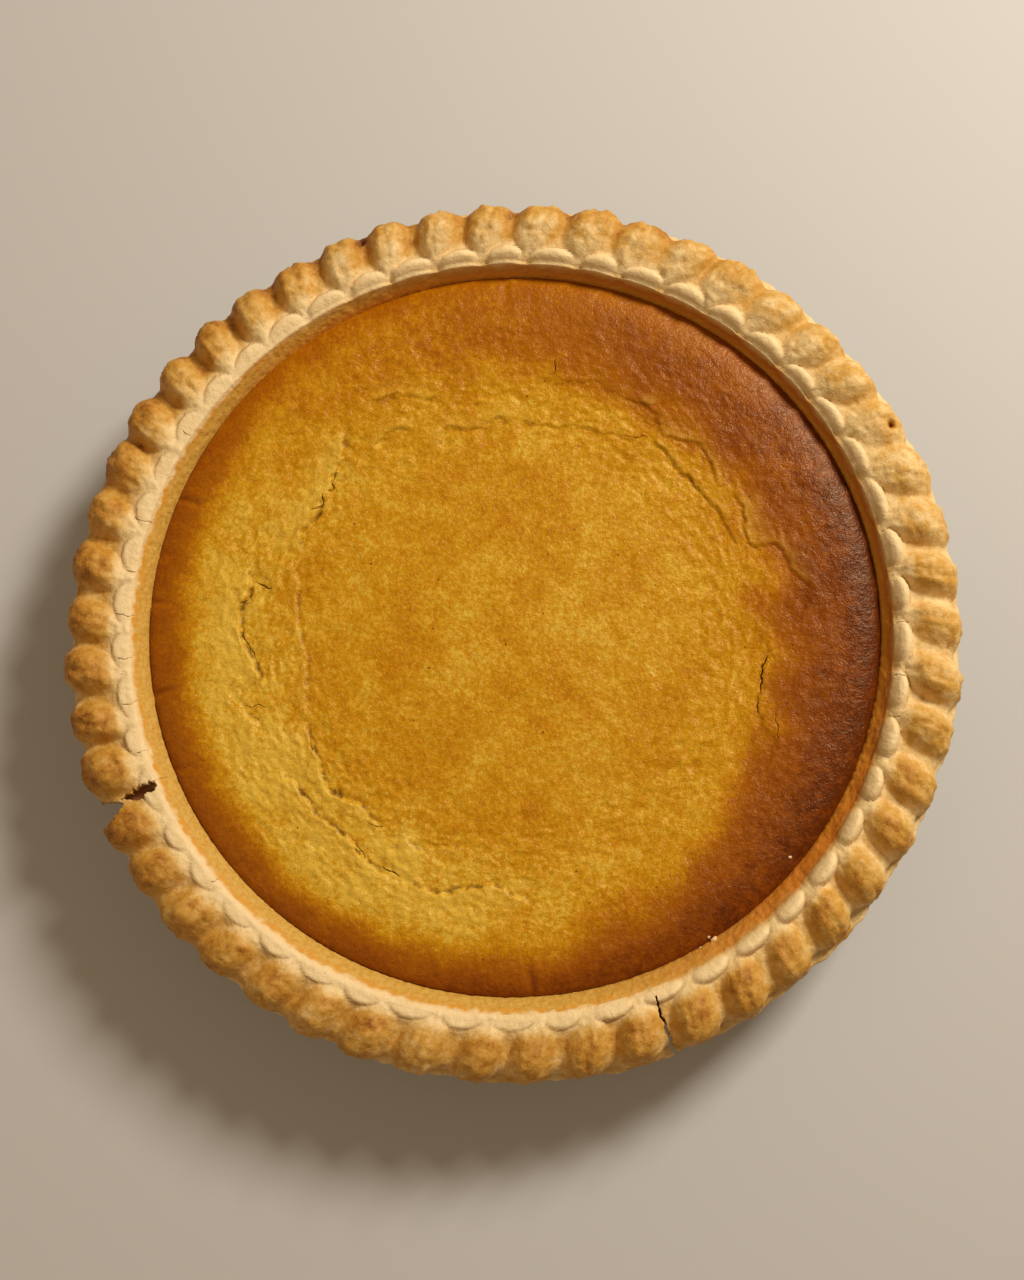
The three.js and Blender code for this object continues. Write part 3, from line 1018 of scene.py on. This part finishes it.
# %% Filling: open cracks
OPEN_CRACKS = [
    ([(73.9, -9.6), (72.6, -12.5), (71.8, -16), (71.5, -20.5)], 0.62, 2.6),
    ([(71.0, -21.5), (70.5, -23.5), (70.6, -26.3)], 0.42, 2.0),
    ([(75.2, -26.5), (76.0, -30), (75.9, -33.5)], 0.30, 1.4),
    ([(13.7, 80.2), (13.4, 77.5), (12.9, 74.6)], 0.36, 1.6),
    ([(-51.4, 46), (-52.2, 43.5), (-51.9, 41.5), (-53.6, 40.6)], 0.50, 1.8),
    ([(-55.0, 39.5), (-55.3, 37.5), (-55.2, 35.8), (-58.5, 34.3)], 0.50, 1.8),
    ([(-60.6, 28), (-61.2, 25.5)], 0.40, 1.4),
    ([(-73.8, 12.9), (-71.5, 12.0), (-69.6, 11.0)], 0.66, 2.0),
    ([(-74.6, 10.6), (-76.2, 8.5), (-78.8, 5.2)], 0.42, 1.6),
    ([(-77.2, -0.5), (-77.6, -3), (-75.4, -6), (-73.8, -9.2)], 0.40, 1.5),
    ([(-76.5, -23.5), (-74.6, -23.9), (-72.2, -22.9), (-70.2, -23.9)], 0.36, 1.3),
    ([(-43.8, -62.5), (-42.2, -64.8), (-40.6, -66.8)], 0.34, 1.3),
    ([(-36, -69.0), (-33.2, -70.9), (-31.0, -71.6)], 0.50, 1.6),
    ([(34.0, 56.4), (36.5, 56.0), (39.5, 56.0), (41.0, 55.6)], 0.34, 1.2),
    ([(52.5, 43.0), (54.5, 40.2)], 0.28, 1.0),
    ([(-57.2, -31.5), (-57.0, -35.5)], 0.30, 1.0),
    ([(-40.5, -56.6), (-38.5, -57.6), (-36.0, -58.3)], 0.30, 1.0),
]
crack_blades = []
for number, (path, width, depth) in enumerate(OPEN_CRACKS):
    x, y = path[len(path) // 2]
    here = np.argmin(away_from(level_spots, x, y) + 1e3 * below)
    surface = height[here]
    crack_blades.append(
        blade(
            path,
            lambda a, w=width: w * (0.25 + 0.75 * math.sin(math.pi * a) ** 0.5),
            surface + 2.0,
            surface - depth,
            seed=50 + number,
            ragged=0.45,
            step=0.3,
        )
    )
filling_mesh = cut_away(filling_mesh, crack_blades)

# %% [markdown]
# ## Filling: where it browned
#
# The oven was hotter on one side: a broad crescent there is chocolate brown, while the rest of the
# edge is only orange-brown. The band's width and its strength are both smooth curves round the pie.
# On top of that, painted light makes the ring paler where its inner slope faces the lamp, painted
# shade darkens the cracks and the foot of each tear, and the raised side of each tear gets a
# painted highlight.

# %% Filling: where it browned
CRESCENT = every_30(0.60, 0.56, 0.54, 0.27, 0.13, 0.05, 0.0, 0.0, 0.0, 0.06, 0.38, 0.58)
CRESCENT_WIDTH = [(0, 38), (30, 36), (60, 35), (90, 37), (120, 36), (150, 30), (210, 20), (270, 20)]
CRESCENT_WIDTH += [(300, 25), (330, 31)]
EDGE_BROWN = every_30(0.28, 0.14, -0.16, 0.02, 0.12, 0.36, 0.40, 0.40, 0.42, 0.50, 0.32, 0.26)
EDGE_WIDTH = [(0, 15), (30, 16), (60, 14), (90, 12), (120, 10), (150, 13), (180, 15), (240, 13)]
EDGE_WIDTH += [(270, 13), (300, 17), (330, 17)]

points = points_of(filling_mesh)
angle, radius = polar(points)
level_spots = np.stack([points[:, 0], points[:, 1], np.zeros(len(points))], 1)
edge = contact_radius(angle) - radius
cloud = noise_at(level_spots, 11.0, 51, 4)
patches = noise_at(level_spots, 3.4, 53, 3)
crescent_in = edge / round_pie(angle, CRESCENT_WIDTH) + 0.14 * cloud + 0.07 * patches
edge_in = edge / round_pie(angle, EDGE_WIDTH) + 0.16 * cloud + 0.08 * patches
browning = round_pie(angle, CRESCENT) * smooth(1.15, 0.50, crescent_in)
browning += round_pie(angle, EDGE_BROWN) * smooth(1.15, 0.15, edge_in)
# Painted light: the ring's inner slope that faces the lamp is made paler.
painted_light_on_ring = smooth(60, 75, radius) * smooth(98, 88, radius) * np.cos(angle - math.radians(210))
browning -= 0.12 * np.clip(painted_light_on_ring, 0, 1)
browning += 0.14 + 0.08 * noise_at(level_spots, 18.0, 54, 3) + 0.10 * patches * (0.5 + browning)
paint(filling_mesh, "browned", browning)

relief, groove = tear_relief(level_spots[:, :2] + DRIFT * drift_at(level_spots))
surface = custard_height(angle, radius, wander_at(level_spots)) + relief
depth = surface - points[:, 2]
# Painted shade: dark in the cracks and along the foot of each tear, most where the step faces the lamp.
groove_shade_strength = 0.25 + 0.60 * faces_light(angle)
paint(filling_mesh, "crack_and_groove_shade", smooth(0.8, 1.6, depth) + groove_shade_strength * groove * smooth(-0.2, 0.2, patches))
# Painted highlight: the raised side of each tear is paler.
paint(filling_mesh, "raised_side_highlight", smooth(0.12, 0.5, relief) * smooth(95, 85, radius) * (1 - groove))
print("deepest brown", round(float(browning.max()), 2))


# %% [markdown]
# ## Finishes: small tools for node trees
#
# Every finish is built from a few kinds of node, so each kind gets a short function. Patterns read
# Object coordinates, which lie still on the piece, and the painted attributes.


# %% Finishes: small tools for node trees
def linear(red, green, blue):
    """A colour given as it looks on a screen, 0 to 255, as the shader wants it."""
    shares = (level / 255 for level in (red, green, blue))
    return (*(c / 12.92 if c <= 10 / 255 else ((c + 0.055) / 1.055) ** 2.4 for c in shares), 1)


class Finish:
    """A material with short ways to add the nodes that food needs."""

    def __init__(self, name):
        self.material, self.tree, self.shader = node_material(name)
        self.place = self.tree.nodes.new("ShaderNodeTexCoord").outputs["Object"]

    def link(self, value, socket):
        if isinstance(value, (int, float, tuple)):
            socket.default_value = value
        else:
            self.tree.links.new(value, socket)

    def painted(self, name):
        node = self.tree.nodes.new("ShaderNodeAttribute")
        node.attribute_name = name
        return node.outputs["Fac"]

    def grain(self, size_mm, detail=3, roughness=0.55):
        """Noise whose lumps are about size_mm wide."""
        node = self.tree.nodes.new("ShaderNodeTexNoise")
        node.inputs["Scale"].default_value = 1 / (size_mm * MM)
        node.inputs["Detail"].default_value = detail
        node.inputs["Roughness"].default_value = roughness
        self.tree.links.new(self.place, node.inputs["Vector"])
        return node.outputs["Fac"]

    def specks(self, spacing_mm, size, seed=0.0):
        """1 in small dots about spacing_mm apart; size is their share of the spacing."""
        mapping = self.tree.nodes.new("ShaderNodeMapping")
        mapping.inputs["Location"].default_value = (seed, seed, 0)
        self.tree.links.new(self.place, mapping.inputs["Vector"])
        node = self.tree.nodes.new("ShaderNodeTexVoronoi")
        node.inputs["Scale"].default_value = 1 / (spacing_mm * MM)
        self.tree.links.new(mapping.outputs["Vector"], node.inputs["Vector"])
        return self.between(node.outputs["Distance"], size, size * 0.6)

    def between(self, value, low, high, to_low=0.0, to_high=1.0):
        """value run smoothly from to_low, at low, to to_high, at high."""
        node = self.tree.nodes.new("ShaderNodeMapRange")
        node.interpolation_type = "SMOOTHSTEP"
        flip = low > high
        ends = (high, low, to_high, to_low) if flip else (low, high, to_low, to_high)
        for name, number in zip(("From Min", "From Max", "To Min", "To Max"), ends):
            node.inputs[name].default_value = number
        self.link(value, node.inputs["Value"])
        return node.outputs["Result"]

    def math(self, operation, a, b=0.0, clamp=False):
        node = self.tree.nodes.new("ShaderNodeMath")
        node.operation = operation
        node.use_clamp = clamp
        self.link(a, node.inputs[0])
        self.link(b, node.inputs[1])
        return node.outputs["Value"]

    def blend(self, share, first, second):
        """Colour first, turning into second where share is 1."""
        node = self.tree.nodes.new("ShaderNodeMix")
        node.data_type = "RGBA"
        self.link(share, node.inputs["Factor"])
        self.link(first, node.inputs["A"])
        self.link(second, node.inputs["B"])
        return node.outputs["Result"]

    def coat(self, under, name, colour):
        """Colour under, covered by another where the painted number called name is 1."""
        return self.blend(self.painted(name), under, colour)

    def ramp(self, value, stops):
        """A colour for each value: stops are (place, colour)."""
        node = self.tree.nodes.new("ShaderNodeValToRGB")
        elements = node.color_ramp.elements
        while len(elements) < len(stops):
            elements.new(0.5)
        for element, (position, colour) in zip(elements, stops):
            element.position = position
            element.color = colour
        self.link(value, node.inputs["Fac"])
        return node.outputs["Color"]

    def bump(self, height, distance_mm, strength, under=None):
        node = self.tree.nodes.new("ShaderNodeBump")
        node.inputs["Distance"].default_value = distance_mm * MM
        node.inputs["Strength"].default_value = strength
        self.link(height, node.inputs["Height"])
        if under:
            self.tree.links.new(under, node.inputs["Normal"])
        return node.outputs["Normal"]

    def set(self, name, value):
        self.link(value, self.shader.inputs[name])


# %% [markdown]
# ## Finish of the pastry
#
# Shortcrust is matt and mottled. Its colour runs from floury cream, where the oven hardly reached,
# through straw and gold to nut brown on top of the lobes. On the inside wall the custard left a
# yellow film with an orange line at its upper edge. The foot of that wall, on the side towards the
# lamp, has painted light, and the cracks and the creases behind the beans have painted shade.

# %% Finish of the pastry
crust = Finish("baked_shortcrust")
mottle = crust.grain(3.0, 5, 0.62)
fine = crust.grain(0.8, 4, 0.65)
tone = crust.math("ADD", crust.painted("browned"), crust.between(mottle, 0.28, 0.72, -0.14, 0.14))
tone = crust.math("ADD", tone, crust.between(fine, 0.3, 0.7, -0.09, 0.09), clamp=True)
baked = crust.ramp(
    tone,
    [
        (0.0, linear(234, 200, 138)),
        (0.25, linear(218, 174, 102)),
        (0.45, linear(204, 152, 64)),
        (0.65, linear(190, 131, 42)),
        (0.85, linear(164, 104, 24)),
        (1.0, linear(126, 72, 12)),
    ],
)
floury = crust.coat(baked, "floury", linear(241, 209, 154))
film_grain = crust.between(crust.grain(1.2, 3), 0.35, 0.65)
wall_film = crust.blend(film_grain, linear(202, 148, 54), linear(214, 168, 76))
wall_film = crust.coat(wall_film, "syrupy", linear(192, 106, 16))
# Painted light: a lighter colour at the foot of the wall on the side towards the lamp.
wall_film = crust.coat(wall_film, "painted_light_wall_foot", linear(238, 160, 52))
filmed = crust.coat(floury, "film", wall_film)
lined = crust.coat(filmed, "tide_line", linear(216, 148, 42))
dotted = crust.blend(crust.math("MULTIPLY", crust.specks(3.2, 0.10), 0.30), lined, linear(128, 72, 28))
# Painted shade: dark brown in the cracks and in the creases behind the beans.
with_painted_shade = crust.coat(dotted, "crack_and_crease_shade", linear(134, 84, 42))
crust.set("Base Color", with_painted_shade)
crust.set("Roughness", crust.between(mottle, 0.3, 0.7, 0.50, 0.70))
crust.shader.inputs["Specular IOR Level"].default_value = 0.35
coarse = crust.bump(crust.grain(1.5, 4, 0.65), 0.50, 0.75)
crust.set("Normal", crust.bump(crust.grain(0.45, 3, 0.6), 0.16, 0.6, coarse))
add_piece("pastry_shell", pastry_mesh, crust.material, "pastry")

# %% [markdown]
# ## Finish of the custard
#
# The custard is moist and a little glossy, with a fine grain that catches the light in many small
# glints. It goes from golden yellow through orange to chocolate brown as it browns, and ground spice
# shows as scattered dark specks. Pale specks on its less browned part are painted glints, the raised
# side of each tear has a painted highlight, and painted shade darkens its cracks and tear feet.

# %% Finish of the custard
custard = Finish("baked_custard")
cloudy = custard.grain(7, 4, 0.65)
grainy = custard.grain(1.3, 4, 0.7)
tone = custard.math("ADD", custard.painted("browned"), custard.between(cloudy, 0.3, 0.7, -0.04, 0.04))
tone = custard.math("ADD", tone, custard.between(grainy, 0.3, 0.7, -0.09, 0.09), clamp=True)
toasted = custard.ramp(
    tone,
    [
        (0.0, linear(217, 173, 58)),
        (0.12, linear(201, 143, 18)),
        (0.24, linear(188, 122, 6)),
        (0.40, linear(166, 95, 3)),
        (0.62, linear(149, 77, 5)),
        (0.84, linear(119, 54, 5)),
        (1.0, linear(88, 36, 4)),
    ],
)
# Painted highlight on the raised side of each tear.
raised_highlight_share = custard.math("MULTIPLY", custard.painted("raised_side_highlight"), 0.32)
coloured = custard.blend(raised_highlight_share, toasted, linear(224, 182, 70))
for spacing, size, seed, strength, colour in (
    (8.5, 0.05, 0.0, 0.75, linear(84, 40, 10)),
    (2.4, 0.11, 0.01, 0.34, linear(140, 84, 18)),
):
    dots = custard.math("MULTIPLY", custard.specks(spacing, size, seed), strength)
    coloured = custard.blend(dots, coloured, colour)
# Pale specks on the less browned custard are painted glints.
unbrowned = custard.between(custard.painted("browned"), 0.5, 0.05, 0.0, 0.46)
painted_glints = custard.math("MULTIPLY", custard.specks(1.3, 0.22, 0.02), unbrowned)
spice_and_painted_glints = custard.blend(painted_glints, coloured, linear(230, 192, 112))
# Painted shade in the cracks and along the feet of the tears.
shaded = custard.coat(spice_and_painted_glints, "crack_and_groove_shade", linear(62, 24, 4))
custard.set("Base Color", shaded)
custard.set("Roughness", custard.between(custard.grain(1.4, 3), 0.3, 0.7, 0.24, 0.42))
custard.shader.inputs["Specular IOR Level"].default_value = 0.26
custard.shader.inputs["Specular Tint"].default_value = (1.0, 0.80, 0.52, 1)
wrinkled = custard.bump(custard.grain(1.2, 3, 0.55), 0.42, 0.60)
custard.set("Normal", custard.bump(custard.grain(0.6, 3, 0.6), 0.14, 0.6, wrinkled))
add_piece("custard", filling_mesh, custard.material, "filling")

# %% [markdown]
# ## The foil tin
#
# Only the pie's sides and underside show the tin. Foil is pressed from one thin sheet, so it is spun
# as a thin closed skin, and its wall is then pleated where the sheet had to take up its own fullness.
# The rim of the foil is rolled under, and a shallow ring pressed into the base stiffens it. Under
# the two cracks in the rim the foil is painted brown and not metallic, as painted shade, so that the
# cracks read dark from above.

# %% The foil tin
FOIL = 0.25
BASE_RADIUS = 91.0
TOP_RADIUS = 111.4
PLEATS = 72
wall_slope = (TOP_RADIUS - BASE_RADIUS) / (FLANGE_TOP - 1.0)

outside = [(0, 0.9), (58, 0.9), (61, 0.5), (64, 0.0), (88.5, 0.0), (90.4, 0.3), (91.3, 1.2)]
outside += [(BASE_RADIUS + 0.5 + wall_slope * (z - 1.0), z) for z in (4, 8, 12, 16, 20, 24, 27.6)]
outside += [(TOP_RADIUS + 0.9, 29.2), (114, 29.7), (117, 29.7), (FLANGE_RADIUS - 2.2, 29.5)]
outside += [(FLANGE_RADIUS - 2.1, 28.6), (FLANGE_RADIUS - 1.2, 27.85), (FLANGE_RADIUS - 0.3, 28.2)]
outside += [(FLANGE_RADIUS, 29.0), (FLANGE_RADIUS - 0.35, 29.75), (FLANGE_RADIUS - 1.3, 30.0)]
inside_skin = [(116, 30.0), (TOP_RADIUS + 0.2, 29.9), (TOP_RADIUS - 0.6, 29.2)]
inside_skin += [(BASE_RADIUS + 0.5 - FOIL * 1.3 + wall_slope * (z - 1.0), z) for z in (24, 16, 8, 3)]
inside_skin += [(90.4, 0.9), (88.5, FOIL), (64, FOIL), (61, 0.75), (58, 0.9 + FOIL), (0, 0.9 + FOIL)]

tin_mesh = spun_mesh("foil_tin", outside + inside_skin, PLEATS * 8)
points = points_of(tin_mesh)
angle, radius = polar(points)
height = points[:, 2]
on_wall = smooth(1.0, 5.0, height) * smooth(29.0, 25.0, height)
pleat = np.abs(((angle * PLEATS / (2 * math.pi)) % 1) * 2 - 1) ** 1.6 - 0.4
radius += on_wall * 0.55 * pleat * (1 + 0.3 * noise_at(points, 15, 61))
radius += 0.10 * noise_at(points, 9.0, 62, 3) * smooth(0.4, 3.0, height)
set_points(tin_mesh, from_polar(angle, radius, height))

points = points_of(tin_mesh)
# Painted shade: the foil under the two cracks is made brown and not metallic, so they read dark.
near_cracks = np.zeros(len(points))
for x, y in (ray(204.6, 115.5, 116)[0], ray(290.9, 117, 118)[0]):
    near_cracks = np.maximum(near_cracks, smooth(9.5, 5.5, away_from(points, x, y)))
upper_skin = rows_of(tin_mesh) >= len(outside) - 1
paint(tin_mesh, "painted_shade_under_cracks", near_cracks * smooth(26, 28, points[:, 2]) * upper_skin)
print("stained points of the tin:", int((near_cracks * upper_skin > 0.5).sum()))

foil = Finish("pressed_foil")
# Brown and not metallic where the painted shade under the cracks lies.
foil_shade = foil.painted("painted_shade_under_cracks")
foil.set("Metallic", foil.between(foil_shade, 0.0, 0.5, 1.0, 0.0))
bare = foil.blend(foil.grain(6, 3), linear(196, 198, 201), linear(222, 223, 225))
foil.set("Base Color", foil.blend(foil_shade, bare, linear(96, 56, 26)))
foil.set("Roughness", foil.between(foil.grain(2.2, 4), 0.3, 0.7, 0.24, 0.42))
foil.set("Normal", foil.bump(foil.grain(3.0, 4, 0.6), 0.25, 0.35))
add_piece("foil_tin", tin_mesh, foil.material, "tin")

# %% [markdown]
# ## Crumbs
#
# A few flakes of pastry fell on the filling beside the rim. Each crumb is a small rounded lump that
# noise has made uneven, and all of them are one joined mesh.

# %% Crumbs
CRUMBS = [(57.0, -89.4, 0.95), (55.4, -88.9, 0.4), (78.5, -66.9, 0.45), (53.2, -92.0, 0.5)]
custard_points = points_of(filling_mesh)
crumb_mesh = bpy.data.meshes.new("crumbs")
bm = bmesh.new()
for number, (x, y, size) in enumerate(CRUMBS):
    made = bmesh.ops.create_icosphere(bm, subdivisions=3, radius=size * MM)["verts"]
    nearest = np.argmin(away_from(custard_points, x, y) - 0.01 * custard_points[:, 2])
    rest = custard_points[nearest, 2]
    for vertex in made:
        lump = noise.noise(vertex.co / (0.7 * size * MM) + Vector((number * 5.0, 0, 0)))
        vertex.co *= 1 + 0.45 * lump
        vertex.co.z *= 0.7
        vertex.co += Vector((x, y, rest + 0.5 * size)) * MM
bm.to_mesh(crumb_mesh)
bm.free()
crumb = Finish("pale_crumb")
crumb.set("Base Color", crumb.blend(crumb.grain(0.5, 3), linear(236, 208, 164), linear(214, 172, 112)))
crumb.set("Roughness", crumb.between(crumb.grain(0.3, 2), 0.3, 0.7, 0.6, 0.8))
crumb.set("Normal", crumb.bump(crumb.grain(0.25, 3), 0.1, 0.6))
add_piece("crumbs", crumb_mesh, crumb.material, None)
